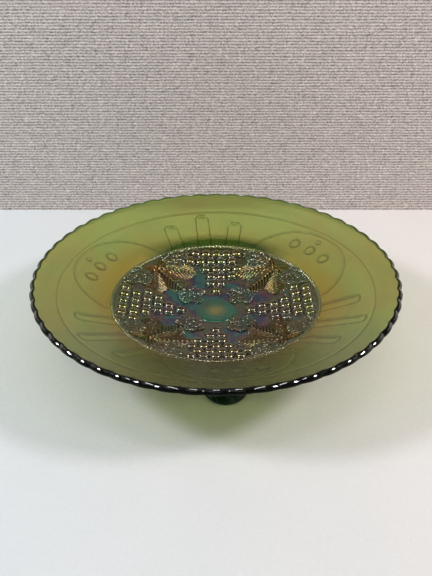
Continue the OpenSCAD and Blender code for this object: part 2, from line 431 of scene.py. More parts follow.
def pebbles(u, v, size, seed=7):
    # rounded grains on a loose grid, 0 to 1
    rng = np.random.default_rng(seed)
    span = 64
    shift = rng.uniform(0.15, 0.85, (span, span, 2))
    tall = rng.uniform(0.45, 1.0, (span, span))
    gridU, gridV = np.floor(u / size).astype(int), np.floor(v / size).astype(int)
    best = np.zeros_like(u)
    for i in (-1, 0, 1):
        for j in (-1, 0, 1):
            a, b = (gridU + i) % span, (gridV + j) % span
            du = u / size - (gridU + i + shift[a, b, 0])
            dv = v / size - (gridV + j + shift[a, b, 1])
            dome = np.sqrt(np.clip(1 - (du * du + dv * dv) / 0.4, 0, 1))
            best = np.maximum(best, tall[a, b] * dome)
    return best


toothLong, veinHalf = 2.3 * mm, 0.4 * mm


def leafHeight(u, v, leaf):
    # palmate leaf that starts at (0, 0): lobes are (direction, length, half width)
    best = np.full(u.shape, -1.0)
    ribs = np.zeros_like(u)
    vein = np.zeros_like(u)
    for direction, length, half in leaf["lobes"]:
        along = u * math.cos(direction) + v * math.sin(direction)
        across = -u * math.sin(direction) + v * math.cos(direction)
        t = np.clip(along / length, 0.001, 0.999)
        tooth = 1 + leaf["tooth"] * (np.abs((along / toothLong) % 1 - 0.5) * 2 - 0.5)
        wide = half * tooth * 2.3 * t**0.68 * (1 - t) ** 0.62
        edge = 1 - np.abs(across) / np.maximum(wide, 0.05 * mm)
        edge = np.where((along > 0) & (along < length), edge, -1.0)
        mine = edge > best
        slant = along - 0.8 * np.abs(across) - 0.035 / mm * across**2
        ribs = np.where(mine, 1 - 2 * np.abs(np.sin(math.pi * slant / leaf["rib"])) ** 1.3, ribs)
        vein = np.maximum(vein, np.where(edge > 0, np.exp(-((across / veinHalf) ** 2)), 0))
        best = np.maximum(best, edge)
    body = smooth(-0.02, 0.16, best)
    crown = 0.35 * smooth(0, 0.9, best)
    grains = leaf["grain"] * pebbles(u, v, leaf["grainSize"])
    detail = leaf["ribHigh"] * ribs + leaf["vein"] * vein + grains
    top = leaf["rise"] * (body + crown) + body * detail
    return np.where(best > -0.2, top - 0.25 * mm * (1 - body), -1 * mm)


def lobe(degrees, length, half):
    return (math.radians(degrees), length * mm, half * mm)


vineLeaf = {
    "at": 58.5 * mm,
    "lobes": [
        lobe(180, 29, 10),
        lobe(140, 28, 9.6),
        lobe(-140, 28, 9.6),
        lobe(101, 19, 7),
        lobe(-101, 19, 7),
    ],
    "rise": 0.55 * mm,
    "rib": 2.7 * mm,  # spacing of the ribs
    "ribHigh": 0.42 * mm,
    "vein": 0.5 * mm,
    "tooth": 0.22,
    "grain": 0.12 * mm,
    "grainSize": 1.5 * mm,
    "step": 0.26 * mm,
}
cornerLeaf = {
    "at": 60.4 * mm,
    "turn": math.radians(7.5),
    "lobes": [lobe(97, 20, 6.0), lobe(130, 15.5, 5.4), lobe(66, 10, 4.2)],
    "rise": 0.5 * mm,
    "rib": 3.0 * mm,
    "ribHigh": 0.1 * mm,
    "vein": 0.3 * mm,
    "tooth": 0.4,
    "grain": 1.0 * mm,
    "grainSize": 1.95 * mm,
    "step": 0.24 * mm,
}
sprig = {
    **cornerLeaf,
    "at": 26.6 * mm,
    "lobes": [
        lobe(180, 13.5, 5),
        lobe(126, 12, 4.6),
        lobe(-126, 12, 4.6),
        lobe(84, 8, 3.6),
        lobe(-84, 8, 3.6),
    ],
    "grainSize": 1.9 * mm,
    "step": 0.22 * mm,
}
tendril = {
    "thick": 0.62 * mm,
    # out along the bunch and across it, in millimetres
    "right": [
        (62, 19.5), (57, 21), (51, 20.5), (46, 17.5),
        (42.5, 13.5), (43, 10.8), (45.6, 11.6), (45, 14),
    ],
    "left": [
        (62, -19.5), (56, -21.5), (48.5, -22), (42, -20.5),
        (38, -17.8), (35.4, -18.4), (36, -21),
    ],
}


def makeLeaf(name, leaf, turn, mirror=1):
    lengths = max(length for _, length, _ in leaf["lobes"]) + 2 * mm

    def heightAt(u, v):
        return leafHeight(u, v * mirror, leaf)

    low, high = (-lengths, -lengths), (lengths * 0.5, lengths)
    return reliefPiece(name, heightAt, low, high, leaf["step"], leaf["at"], turn)


def diagonal(quarter):
    return bowl["patternTurn"] + math.pi / 4 + quarter * math.pi / 2


def makeTendril(path, turn):
    # a thin curling vine that follows the floor, half sunk in it
    points = np.array(path) * mm
    ends = np.concatenate([[2 * points[0] - points[1]], points, [2 * points[-1] - points[-2]]])
    line = []
    for p0, p1, p2, p3 in zip(ends, ends[1:], ends[2:], ends[3:]):
        for t in np.arange(0, 1, 0.125):
            square = (2 * p0 - 5 * p1 + 4 * p2 - p3) * t**2
            cube = (3 * p1 - p0 - 3 * p2 + p3) * t**3
            line.append(0.5 * (2 * p1 + (p2 - p0) * t + square + cube))
    line = np.array(line + [points[-1]])
    c, s = math.cos(turn), math.sin(turn)
    turned = np.stack([line[:, 0] * c - line[:, 1] * s, line[:, 0] * s + line[:, 1] * c], 1)
    count, sides = len(turned), 10
    verts = []
    for i, (x, y) in enumerate(turned):
        dx, dy = turned[min(i + 1, count - 1)] - turned[max(i - 1, 0)]
        length = math.hypot(dx, dy)
        nx, ny = -dy / length, dx / length
        thick = tendril["thick"] * (1 - 0.45 * i / count)
        z = float(insideZ(math.hypot(x, y))) + 0.3 * thick
        for k in range(sides):
            w = 2 * math.pi * k / sides
            out = thick * math.cos(w)
            verts.append((x + nx * out, y + ny * out, z + thick * math.sin(w)))
    faces = [[a, d, c, b] for a, b, c, d in tubeFaces(count, sides)]
    faces.append(list(range(sides)))
    faces.append([(count - 1) * sides + k for k in range(sides)][::-1])
    # crest 0.8 all along: the whole vine takes the painted highlight of a crest
    return newPiece("tendril", verts, faces, np.full(len(verts), 0.8))


def makeCornerLeaves():
    leaves = []
    for quarter in range(4):
        for side in (-1, 1):
            turn = diagonal(quarter) + side * cornerLeaf["turn"]
            leaves.append(makeLeaf("cornerLeaf", cornerLeaf, turn, side))
        for path in (tendril["right"], tendril["left"]):
            leaves.append(makeTendril(path, bowl["patternTurn"] + quarter * math.pi / 2))
    return joinPieces("cornerLeaves", leaves)


def makeSprigs():
    return joinPieces("leafSprigs", [makeLeaf("sprig", sprig, diagonal(q)) for q in range(4)])


medallion = {
    "r": 13.5 * mm,
    "rise": 0.9 * mm,
    "hollow": 0.28 * mm,  # how far its middle is dished
    "hexSide": 0.5 * mm,  # how far its six sides are flattened
    "bevelFrom": 0.86,  # share of the radius where its edge starts to fall
    "edgeSink": 0.3 * mm,
    "sink": 0.6 * mm,
}


def makeMedallion():
    m = medallion
    verts = []
    count, rings = 180, 24
    for i in range(rings + 1):
        for j in range(count):
            a = 2 * math.pi * j / count
            edge = m["r"] - m["hexSide"] * (1 - abs(math.cos(3 * (a - bowl["patternTurn"]))))
            r = edge * i / rings
            t = i / rings
            bevel = 1 - max(0.0, (t - m["bevelFrom"]) / (1 - m["bevelFrom"])) ** 2.2
            lift = (m["rise"] + m["edgeSink"]) * bevel - m["hollow"] * (1 - t * t)
            z = float(insideZ(r)) - m["edgeSink"] + lift
            verts.append((r * math.cos(a), r * math.sin(a), z))
    base = len(verts)
    for x, y, _ in verts[-count:]:
        verts.append((x, y, float(insideZ(math.hypot(x, y))) - m["sink"]))
    faces = tubeFaces(rings + 2, count)
    faces.append([base + j for j in range(count)][::-1])
    # the first ring is one point
    piece = newPiece("centreMedallion", verts, faces)
    bm = bmesh.new()
    bm.from_mesh(piece.data)
    bmesh.ops.remove_doubles(bm, verts=bm.verts, dist=1e-7)
    bm.to_mesh(piece.data)
    bm.free()
    return piece


cable = {
    "wide": 2.2 * mm,
    "high": 1.1 * mm,
    "sink": 0.5 * mm,
    "turns": 170,
    "slant": 1.1,
    "depth": 0.8 * mm,  # of the grooves between the beads
    "rows": 16,
    "count": 1360,
}


def makeCable():
    # a closed ring with slanting beads along its top
    c = cable
    middle = floorR - c["wide"] / 2
    verts, crest = [], []
    for j in range(c["count"]):
        a = 2 * math.pi * j / c["count"]
        for i in range(c["rows"]):
            t = 2 * math.pi * i / c["rows"]
            up = math.sin(t)
            r = middle + c["wide"] / 2 * math.cos(t)
            bead = abs(math.sin(a * c["turns"] / 2 + c["slant"] * math.cos(t))) ** 0.7
            z = float(insideZ(r)) + (c["high"] if up > 0 else c["sink"]) * up
            z += (bead - 1) * c["depth"] * max(0, up) ** 0.5
            verts.append((r * math.cos(a), r * math.sin(a), z))
            # low in the grooves between beads and high on them: painted shade and painted highlight
            # through the lustre
            crest.append(0.15 + 0.8 * bead)
    faces = tubeFaces(c["count"] + 1, c["rows"])
    return newPiece("cableBorder", verts, [[v % len(verts) for v in f] for f in faces], crest)


def addNode(tree, kind, **values):
    node = tree.nodes.new("ShaderNode" + kind)
    row, column = divmod(len(tree.nodes), 6)
    node.location = (220 * column, -320 * row)  # laid out in rows, so that the graph can be read
    for key, value in values.items():
        setattr(node, key, value)
    return node


def wire(tree, source, target):
    tree.links.new(source, target)


def rampOf(tree, value, stops):
    node = addNode(tree, "ValToRGB")
    elements = node.color_ramp.elements
    while len(elements) > 1:
        elements.remove(elements[-1])
    elements[0].position = stops[0][0]
    elements[0].color = (*stops[0][1], 1)
    for place, colour in stops[1:]:
        elements.new(place).color = (*colour, 1)
    wire(tree, value, node.inputs[0])
    return node.outputs[0]


def startGroup(name, inputs, outputs):
    # every socket of these groups is a plain number
    tree = bpy.data.node_groups.new(name, "ShaderNodeTree")
    sockets, kind = tree.interface, "NodeSocketFloat"
    for label, value in inputs.items():
        sockets.new_socket(name=label, in_out="INPUT", socket_type=kind).default_value = value
    for label in outputs:
        sockets.new_socket(name=label, in_out="OUTPUT", socket_type=kind)
    enter = tree.nodes.new("NodeGroupInput")
    leave = tree.nodes.new("NodeGroupOutput")
    enter.location, leave.location = (-220, 0), (1540, 0)
    return tree, enter, leave


def useGroup(tree, group, **values):
    node = tree.nodes.new("ShaderNodeGroup")
    node.node_tree = group
    for key, value in values.items():
        node.inputs[key].default_value = value
    return node


def math2(tree, operation, a, b, clamp=False):
    node = addNode(tree, "Math", operation=operation, use_clamp=clamp)
    for socket, value in zip(node.inputs, (a, b)):
        if hasattr(value, "is_output"):
            wire(tree, value, socket)
        else:
            socket.default_value = value
    return node.outputs[0]


def times(tree, a, b, clamp=False):
    return math2(tree, "MULTIPLY", a, b, clamp)


def splitXYZ(tree, vector):
    parts = addNode(tree, "SeparateXYZ")
    wire(tree, vector, parts.inputs[0])
    return parts.outputs


def mixColor(tree, factor, a, b, mode="MIX"):
    node = addNode(tree, "Mix", data_type="RGBA", blend_type=mode)
    for socket, value in ((node.inputs[0], factor), (node.inputs[6], a), (node.inputs[7], b)):
        if hasattr(value, "is_output"):
            wire(tree, value, socket)
        else:
            socket.default_value = value if isinstance(value, float) else (*value, 1)
    return node.outputs[2]


# patches of sprayed metal lustre, as a value that runs through the colours of a ramp
def makeLustrePatches():
    inputs = {"Patches": 40.0, "Shift": 0.0, "Streak": 0.35}
    tree, enter, leave = startGroup("lustrePatches", inputs, ["Value"])
    place = addNode(tree, "TexCoord")
    broad = addNode(tree, "TexNoise", noise_dimensions="4D")
    broad.inputs["Detail"].default_value = 3
    broad.inputs["Distortion"].default_value = 0.6
    fine = addNode(tree, "TexNoise", noise_dimensions="4D")
    fine.inputs["Detail"].default_value = 4
    for noise in (broad, fine):
        wire(tree, place.outputs["Object"], noise.inputs["Vector"])
        wire(tree, enter.outputs["Shift"], noise.inputs["W"])
    wire(tree, enter.outputs["Patches"], broad.inputs["Scale"])
    wire(tree, times(tree, enter.outputs["Patches"], 7.0), fine.inputs["Scale"])
    spread = math2(tree, "MULTIPLY_ADD", broad.outputs[0], 2.2)
    tree.nodes[-1].inputs[2].default_value = -0.6
    wobble = math2(tree, "SUBTRACT", fine.outputs[0], 0.5)
    extra = times(tree, wobble, enter.outputs["Streak"])
    wire(tree, math2(tree, "ADD", spread, extra, clamp=True), leave.inputs["Value"])
    return tree


# faint waves and grain that hot glass keeps from the mould
def makeMouldSkin():
    inputs = {"Wave": 60.0, "Grain": 900.0, "Grain Amount": 0.3}
    tree, enter, leave = startGroup("mouldSkin", inputs, ["Height", "Roughness Add"])
    place = addNode(tree, "TexCoord")
    wave = addNode(tree, "TexNoise")
    grain = addNode(tree, "TexNoise")
    wave.inputs["Detail"].default_value = 1
    grain.inputs["Detail"].default_value = 3
    for noise, label in ((wave, "Wave"), (grain, "Grain")):
        wire(tree, place.outputs["Object"], noise.inputs["Vector"])
        wire(tree, enter.outputs[label], noise.inputs["Scale"])
    some = times(tree, grain.outputs[0], enter.outputs["Grain Amount"])
    wire(tree, math2(tree, "ADD", wave.outputs[0], some), leave.inputs["Height"])
    patchy = times(tree, grain.outputs[0], wave.outputs[0])
    wire(tree, times(tree, patchy, 0.25), leave.inputs["Roughness Add"])
    return tree


# 1 inside a ring round the bowl's axis, fading at both edges
def makeRingMask():
    inputs = {"Radius": 0.07, "Half Width": 0.005}
    tree, enter, leave = startGroup("ringMask", inputs, ["Mask"])
    parts = splitXYZ(tree, addNode(tree, "TexCoord").outputs["Object"])
    squares = [times(tree, parts[i], parts[i]) for i in (0, 1)]
    radius = math2(tree, "SQRT", math2(tree, "ADD", squares[0], squares[1]), 0.0)
    away = math2(tree, "ABSOLUTE", math2(tree, "SUBTRACT", radius, enter.outputs["Radius"]), 0.0)
    share = math2(tree, "DIVIDE", away, enter.outputs["Half Width"])
    wire(tree, math2(tree, "SUBTRACT", 1.0, share, clamp=True), leave.inputs["Mask"])
    return tree


def levelAndUnit(tree):
    # the level way out from the bowl's axis, at full length and at length 1
    place = addNode(tree, "TexCoord")
    flat = addNode(tree, "VectorMath", operation="MULTIPLY")
    flat.inputs[1].default_value = (1, 1, 0)
    unit = addNode(tree, "VectorMath", operation="NORMALIZE")
    wire(tree, place.outputs["Object"], flat.inputs[0])
    wire(tree, flat.outputs[0], unit.inputs[0])
    return flat.outputs[0], unit.outputs[0]


# 1 on the side of the bowl that lies towards Turn, fading to 0 round it
def makeSideMask():
    tree, enter, leave = startGroup("sideMask", {"Turn": 0.0, "Reach": 0.5}, ["Mask"])
    parts = splitXYZ(tree, levelAndUnit(tree)[1])
    x = times(tree, parts[0], math2(tree, "COSINE", enter.outputs["Turn"], 0.0))
    y = times(tree, parts[1], math2(tree, "SINE", enter.outputs["Turn"], 0.0))
    short = math2(tree, "SUBTRACT", 1.0, math2(tree, "ADD", x, y))
    share = math2(tree, "DIVIDE", short, enter.outputs["Reach"])
    wire(tree, math2(tree, "SUBTRACT", 1.0, share, clamp=True), leave.inputs["Mask"])
    return tree


# long soft streaks that run round the bowl, left by turning it while hot
def makeTurnedStreaks():
    inputs = {"Rings": 120.0, "Breaks": 1.5}
    tree, enter, leave = startGroup("turnedStreaks", inputs, ["Value"])
    flat, unit = levelAndUnit(tree)
    length = addNode(tree, "VectorMath", operation="LENGTH")
    broken = addNode(tree, "VectorMath", operation="SCALE")
    together = addNode(tree, "CombineXYZ")
    noise = addNode(tree, "TexNoise")
    noise.inputs["Scale"].default_value = 1
    noise.inputs["Detail"].default_value = 3
    wire(tree, flat, length.inputs[0])
    wire(tree, unit, broken.inputs[0])
    wire(tree, enter.outputs["Breaks"], broken.inputs["Scale"])
    parts = splitXYZ(tree, broken.outputs[0])
    wire(tree, parts[0], together.inputs[0])
    wire(tree, parts[1], together.inputs[1])
    rings = times(tree, length.outputs["Value"], enter.outputs["Rings"])
    wire(tree, rings, together.inputs[2])
    wire(tree, together.outputs[0], noise.inputs["Vector"])
    wire(tree, noise.outputs[0], leave.inputs["Value"])
    return tree


print("shader groups")
lustrePatches, mouldSkin, ringMask = makeLustrePatches(), makeMouldSkin(), makeRingMask()
sideMask, turnedStreaks = makeSideMask(), makeTurnedStreaks()


def patchColour(tree, size, shift, streak, stops):
    patches = useGroup(tree, lustrePatches, Patches=size, Shift=shift, Streak=streak)
    return rampOf(tree, patches.outputs["Value"], stops)


def nearRing(tree, radius, half):
    return useGroup(tree, ringMask, **{"Radius": radius, "Half Width": half}).outputs[0]


def towards(tree, turn, reach):
    return useGroup(tree, sideMask, Turn=turn, Reach=reach).outputs[0]


def letThrough(tree, shader, mask, tint=(1, 1, 1)):
    # clear where the mask is 1
    clear, mix = addNode(tree, "BsdfTransparent"), addNode(tree, "MixShader")
    clear.inputs["Color"].default_value = (*tint, 1)
    for source, target in zip((mask, shader.outputs[0], clear.outputs[0]), mix.inputs):
        wire(tree, source, target)
    wire(tree, mix.outputs[0], tree.nodes["Material Output"].inputs[0])


def startMaterial(name, shadowTint=None, **values):
    material = bpy.data.materials.new(name)
    material.use_nodes = True
    tree = material.node_tree
    tree.nodes.clear()
    shader = addNode(tree, "BsdfPrincipled")
    out = addNode(tree, "OutputMaterial")
    for key, value in values.items():
        shader.inputs[key.replace("_", " ")].default_value = value
    wire(tree, shader.outputs[0], out.inputs[0])
    if shadowTint:
        # lamps reach through the glass as tinted light
        letThrough(tree, shader, addNode(tree, "LightPath").outputs["Is Shadow Ray"], shadowTint)
    return material, tree, shader


def addSurface(tree, shader, colour, base, wave, grain, amount, bump):
    # base is the roughness before the grain adds to it
    wire(tree, colour, shader.inputs["Base Color"])
    skin = useGroup(tree, mouldSkin, **{"Wave": wave, "Grain": grain, "Grain Amount": amount})
    dent = addNode(tree, "Bump")
    dent.inputs["Strength"].default_value = 0.4
    dent.inputs["Distance"].default_value = bump
    wire(tree, skin.outputs["Height"], dent.inputs["Height"])
    wire(tree, dent.outputs[0], shader.inputs["Normal"])
    rough = math2(tree, "ADD", skin.outputs["Roughness Add"], base)
    wire(tree, rough, shader.inputs["Roughness"])


shadowOlive = (0.28, 0.33, 0.13)
shadowDeep = (0.30, 0.34, 0.16)
shadowFoot = (0.3, 0.4, 0.16)
frontSide, backSide = math.radians(-96.5), math.radians(83.5)


# teal, navy, rose and olive patches that run on from the floor over the relief
def sprayColour(tree):
    stops = [(0.0, (0.02, 0.10, 0.085)), (0.34, (0.022, 0.115, 0.10)), (0.41, (0.02, 0.03, 0.075))]
    stops += [(0.5, (0.03, 0.03, 0.07)), (0.55, (0.14, 0.025, 0.04)), (0.6, (0.07, 0.05, 0.055))]
    stops += [(0.7, (0.08, 0.075, 0.025)), (1.0, (0.025, 0.09, 0.06))]
    return patchColour(tree, 70.0, 2.6, 0.25, stops)


# the sprayed lustre in the well of the bowl
def floorLustre():
    values = {"Metallic": 0.5, "Transmission_Weight": 0.3, "Coat_Weight": 0.5, "Coat_Roughness": 0.08}
    material, tree, shader = startMaterial("floorLustre", shadowDeep, **values)
    outer = times(tree, nearRing(tree, 64 * mm, 26 * mm), 1.1, clamp=True)
    olive = (0.07, 0.075, 0.022)
    colour = mixColor(tree, outer, sprayColour(tree), olive)
    addSurface(tree, shader, colour, 0.15, 90.0, 1500.0, 0.35, 0.5 * mm)
    return material


wall = {
    "amber": (0.40, 0.25, 0.014),  # in a ring just outside the pattern
    "green": (0.36, 0.46, 0.16),  # towards the back: painted light, where the wall is lit through
    "deep": (0.02, 0.05, 0.003),  # painted shade: a dark crescent at the back, beside the pattern
    "brown": (0.13, 0.12, 0.06),  # painted shade in front, where the wall is seen at a slant
}


# satin lustre on the inside of the wall, olive with the wall's other colours laid over it: its own
# amber ring and streaks, a lighter greener back as painted light, a browner front and a dark crescent
# at the back as painted shade
def wallLustre():
    values = {"Transmission_Weight": 0.74, "Coat_Weight": 0.2, "Coat_Roughness": 0.12, "IOR": 1.5}
    material, tree, shader = startMaterial("wallLustre", shadowOlive, **values)
    stops = [(0.0, (0.28, 0.37, 0.09)), (0.4, (0.33, 0.37, 0.07))]
    stops += [(0.7, (0.36, 0.31, 0.065)), (1.0, (0.29, 0.36, 0.08))]
    glass = patchColour(tree, 14.0, 5.0, 0.12, stops)
    around = useGroup(tree, lustrePatches, Patches=20.0, Shift=9.0, Streak=0.1)
    patchy = math2(tree, "ADD", around.outputs[0], 0.5)
    weight = times(tree, nearRing(tree, 69 * mm, 17 * mm), patchy, clamp=True)
    glass = mixColor(tree, weight, glass, wall["amber"])
    # painted light: the back of the wall lighter and greener, as where it is lit through
    weight = times(tree, towards(tree, backSide, 0.5), 0.4)
    glass = mixColor(tree, weight, glass, wall["green"])
    # painted shade: a dark crescent at the back of the wall, just outside the pattern
    beside = nearRing(tree, 67 * mm, 10.5 * mm)
    weight = times(tree, beside, towards(tree, backSide, 0.32))
    glass = mixColor(tree, times(tree, weight, 1.9, clamp=True), glass, wall["deep"])
    # painted shade: the front of the wall darker and browner
    weight = times(tree, towards(tree, frontSide, 0.6), 0.85)
    glass = mixColor(tree, weight, glass, wall["brown"])
    streaks = useGroup(tree, turnedStreaks, Rings=260.0, Breaks=1.6)
    stops = [(0.3, (0.84, 0.84, 0.80)), (0.55, (1, 1, 1)), (0.75, (1, 1, 0.92))]
    light = rampOf(tree, streaks.outputs["Value"], stops)
    glass = mixColor(tree, 1.0, glass, light, "MULTIPLY")
    addSurface(tree, shader, glass, 0.12, 40.0, 1200.0, 0.2, 0.4 * mm)
    return material


# the bare lip, where the glass is seen edge on: painted shade darkens it to nearly black in front,
# and it stays paler and greener at the back
def rimGlass(name="rimGlass", bend=1.5, coat=1.0):
    values = {"IOR": bend, "Coat_Weight": coat, "Coat_Roughness": 0.02, "Coat_IOR": 1.7}
    material, tree, shader = startMaterial(name, shadowOlive, Transmission_Weight=0.96, **values)
    stops = [(0.0, (0.0006, 0.0012, 0.001)), (1.0, (0.0015, 0.004, 0.002))]
    dark = patchColour(tree, 120.0, 3.0, 0.2, stops)
    stops = [(0.0, (0.05, 0.10, 0.02)), (1.0, (0.13, 0.19, 0.05))]
    pale = patchColour(tree, 120.0, 3.0, 0.2, stops)
    # painted shade: nearly black on the side towards the front, paler and greener towards the back
    near = times(tree, towards(tree, frontSide, 1.6), 1.7, clamp=True)
    colour = mixColor(tree, near, pale, dark)
    addSurface(tree, shader, colour, 0.03, 60.0, 1200.0, 0.15, 0.1 * mm)
    return material


# the outer side of the lip, duller than its top
def lipSide():
    return rimGlass("lipSide", 1.14, 0.0)


# clear coloured glass with no lustre on it
def plainGlass(name, shadowTint, clear, bend, patches, stops, skin):
    values = {"Transmission_Weight": clear, "IOR": bend}
    material, tree, shader = startMaterial(name, shadowTint, **values)
    addSurface(tree, shader, patchColour(tree, *patches, stops), *skin)
    return material


def outsideGlass():
    stops = [(0.0, (0.36, 0.44, 0.13)), (1.0, (0.44, 0.44, 0.14))]
    skin = (0.06, 50.0, 1300.0, 0.2, 0.3 * mm)
    return plainGlass("outsideGlass", shadowOlive, 0.95, 1.5, (30.0, 7.0, 0.2), stops, skin)


# the steep sides of the moulded work outside, darker green: mostly painted shade that outlines the
# work, partly the thicker glass there
def edgeShadeGlass():
    stops = [(0.0, (0.05, 0.09, 0.02)), (1.0, (0.12, 0.15, 0.04))]
    skin = (0.05, 80.0, 1300.0, 0.2, 0.3 * mm)
    return plainGlass("edgeShadeGlass", shadowOlive, 0.9, 1.5, (60.0, 12.0, 0.3), stops, skin)


def footGlass():
    stops = [(0.0, (0.008, 0.055, 0.01)), (1.0, (0.02, 0.1, 0.018))]
    skin = (0.04, 70.0, 1200.0, 0.2, 0.2 * mm)
    return plainGlass("footGlass", shadowFoot, 0.9, 1.36, (60.0, 4.0, 0.2), stops, skin)


# metal lustre over moulded relief: patchy colour, with painted shade that makes it browner and darker
# towards the front
def reliefLustre(name, stops, shift, patchSize, base, metal=0.6, coat=0.8):
    values = {"Metallic": metal, "Transmission_Weight": 0.3, "Coat_Weight": coat}
    values.update({"Coat_Roughness": 0.035, "Coat_IOR": 1.65})
    material, tree, shader = startMaterial(name, shadowOlive, **values)
    colour = patchColour(tree, patchSize, shift, 0.5, stops)
    weight = times(tree, nearRing(tree, 26 * mm, 34 * mm), 0.6)
    colour = mixColor(tree, weight, colour, sprayColour(tree))
    # painted shade: the front side of the relief browner and darker
    weight = times(tree, towards(tree, frontSide, 0.8), 0.7)
    brown = (0.09, 0.062, 0.028)
    colour = mixColor(tree, weight, colour, brown)
    # painted shade in the grooves and painted highlight on the crests, up to 1.8 times the colour,
    # partly for the lustre that high points keep
    crest = addNode(tree, "Attribute", attribute_name="crest")
    stops = [(0.0, (0.1, 0.1, 0.09)), (0.3, (0.4, 0.4, 0.36)), (0.5, (0.8, 0.8, 0.72))]
    stops += [(0.75, (1.3, 1.28, 1.1)), (1.0, (1.8, 1.75, 1.5))]
    grooveShadeCrestHighlight = rampOf(tree, crest.outputs["Fac"], stops)
    colour = mixColor(tree, 1.0, colour, grooveShadeCrestHighlight, "MULTIPLY")
    addSurface(tree, shader, colour, base, 140.0, 1800.0, 0.5, 0.4 * mm)
    return material


def grapeLustre():
    stops = [(0.0, (0.07, 0.10, 0.014)), (0.35, (0.12, 0.115, 0.012)), (0.6, (0.125, 0.09, 0.014))]
    stops += [(0.8, (0.10, 0.07, 0.03)), (1.0, (0.05, 0.10, 0.035))]
    return reliefLustre("grapeLustre", stops, 1.0, 48.0, 0.08, metal=0.65, coat=1.0)


def leafLustre():
    stops = [(0.0, (0.055, 0.085, 0.014)), (0.35, (0.12, 0.10, 0.012)), (0.6, (0.16, 0.085, 0.01))]
    stops += [(0.8, (0.12, 0.07, 0.02)), (1.0, (0.05, 0.08, 0.02))]
    return reliefLustre("leafLustre", stops, 6.0, 42.0, 0.12, coat=0.08)


def cornerLustre():
    stops = [(0.0, (0.045, 0.10, 0.045)), (0.5, (0.09, 0.11, 0.04))]
    stops += [(0.8, (0.12, 0.095, 0.035)), (1.0, (0.04, 0.10, 0.08))]
    return reliefLustre("cornerLustre", stops, 11.0, 52.0, 0.1)


def cableLustre():
    stops = [(0.0, (0.12, 0.17, 0.06)), (0.6, (0.2, 0.2, 0.075)), (1.0, (0.17, 0.15, 0.045))]
    return reliefLustre("cableLustre", stops, 13.0, 40.0, 0.08, metal=0.5, coat=1.0)


def medallionLustre():
    values = {"Transmission_Weight": 0.25, "Coat_Weight": 0.15, "Coat_Roughness": 0.1}
    material, tree, shader = startMaterial("medallionLustre", shadowOlive, Metallic=0.4, **values)
    stops = [(0.0, (0.025, 0.10, 0.065)), (0.6, (0.03, 0.14, 0.085)), (1.0, (0.055, 0.085, 0.05))]
    teal, gold = patchColour(tree, 60.0, 8.0, 0.3, stops), (0.26, 0.21, 0.05)
    middle = nearRing(tree, 0.0, 8.5 * mm)
    colour = mixColor(tree, middle, teal, gold)
    addSurface(tree, shader, colour, 0.15, 80.0, 1400.0, 0.3, 0.4 * mm)
    return material


def place(piece, material, node, slot):
    piece.data.materials.append(material)
    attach(piece, "root")
    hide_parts(node)


def camel(node):
    first, *rest = node.split("_")
    return first + "".join(word.capitalize() for word in rest)


print("shell")
shell = makeShell()
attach(shell, "root")
outsideNodes = ["thumbprints_" + side for side in ("back", "front_left", "front_right")]
for side in ("front", "back_right", "back_left"):
    outsideNodes += ["jewels_" + side, "arch_" + side]
outsideNodes += ["wall_ring"]
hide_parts("bowl_floor", "flared_wall", "scalloped_rim", *outsideNodes)

print("feet")
footMaterial = footGlass()
for node, angle in zip(("foot_front", "foot_back_right", "foot_back_left"), feetAt):
    place(makeFoot(camel(node), angle), footMaterial, node, "foot_glass")

print("relief")
sides = ("right", "back", "left", "front")
corners = ("back_right", "back_left", "front_left", "front_right")

grapeMaterial, leafMaterial = grapeLustre(), leafLustre()
for quarter, side in enumerate(sides):
    node = "grape_bunch_" + side
    place(makeBunch(camel(node), quarter, 20 + quarter), grapeMaterial, node, "grape_lustre")
for quarter, corner in enumerate(corners):
    node = "vine_leaf_" + corner
    place(makeLeaf(camel(node), vineLeaf, diagonal(quarter)), leafMaterial, node, "leaf_lustre")
place(makeCornerLeaves(), cornerLustre(), "corner_leaves", "leaf_lustre")
place(makeSprigs(), bpy.data.materials["cornerLustre"], "leaf_sprigs", "leaf_lustre")
place(makeMedallion(), medallionLustre(), "centre_medallion", "medallion_lustre")
place(makeCable(), cableLustre(), "cable_border", "cable_lustre")

print("studio")
studio = {
    "tableEdge": 197 * mm,  # where the pale cloth meets the grey one behind
    "tableHalf": 3.0,
    "blendHalf": 0.25,  # distance over which the table goes from one pale tone to the other
    # painted light: the cool left and warm right tones of the table stand in for cooler light from
    # the left and warmer light from the right
    "paleLeft": (0.695, 0.75, 0.79),
    "paleRight": (0.82, 0.75, 0.725),
    "greyCloth": (0.535, 0.48, 0.46),
    "clothWide": 1.6,
    "clothHigh": 0.27,
    "clothRib": 2.35 * mm,
    "room": 0.54,
    "roomScale": 2.2,
    "aimHeight": 0.03,  # what the lamps point at, above the table
    "cameraTurn": math.radians(-6.5),
    "cameraPitch": math.radians(32.51),
    "cameraOut": 388.2 * mm,
    "cameraUp": 234.3 * mm,  # above the rim
    "lens": 45.4,
}


def threadNoise(tree, vector, stretch):
    longer = addNode(tree, "VectorMath", operation="MULTIPLY")
    longer.inputs[1].default_value = stretch
    noise = addNode(tree, "TexNoise")
    noise.inputs["Scale"].default_value = 1
    wire(tree, vector, longer.inputs[0])
    wire(tree, longer.outputs[0], noise.inputs["Vector"])
    return noise.outputs[0]


def stageCloth(name, corners, material, tree, shader):
    # a flat cloth that can be looked through from its wrong side
    letThrough(tree, shader, addNode(tree, "NewGeometry").outputs["Backfacing"])
    mesh = bpy.data.meshes.new(name)
    mesh.from_pydata(corners, [], [(0, 1, 2, 3)])
    mesh.materials.append(material)
    addToScene(name, mesh)


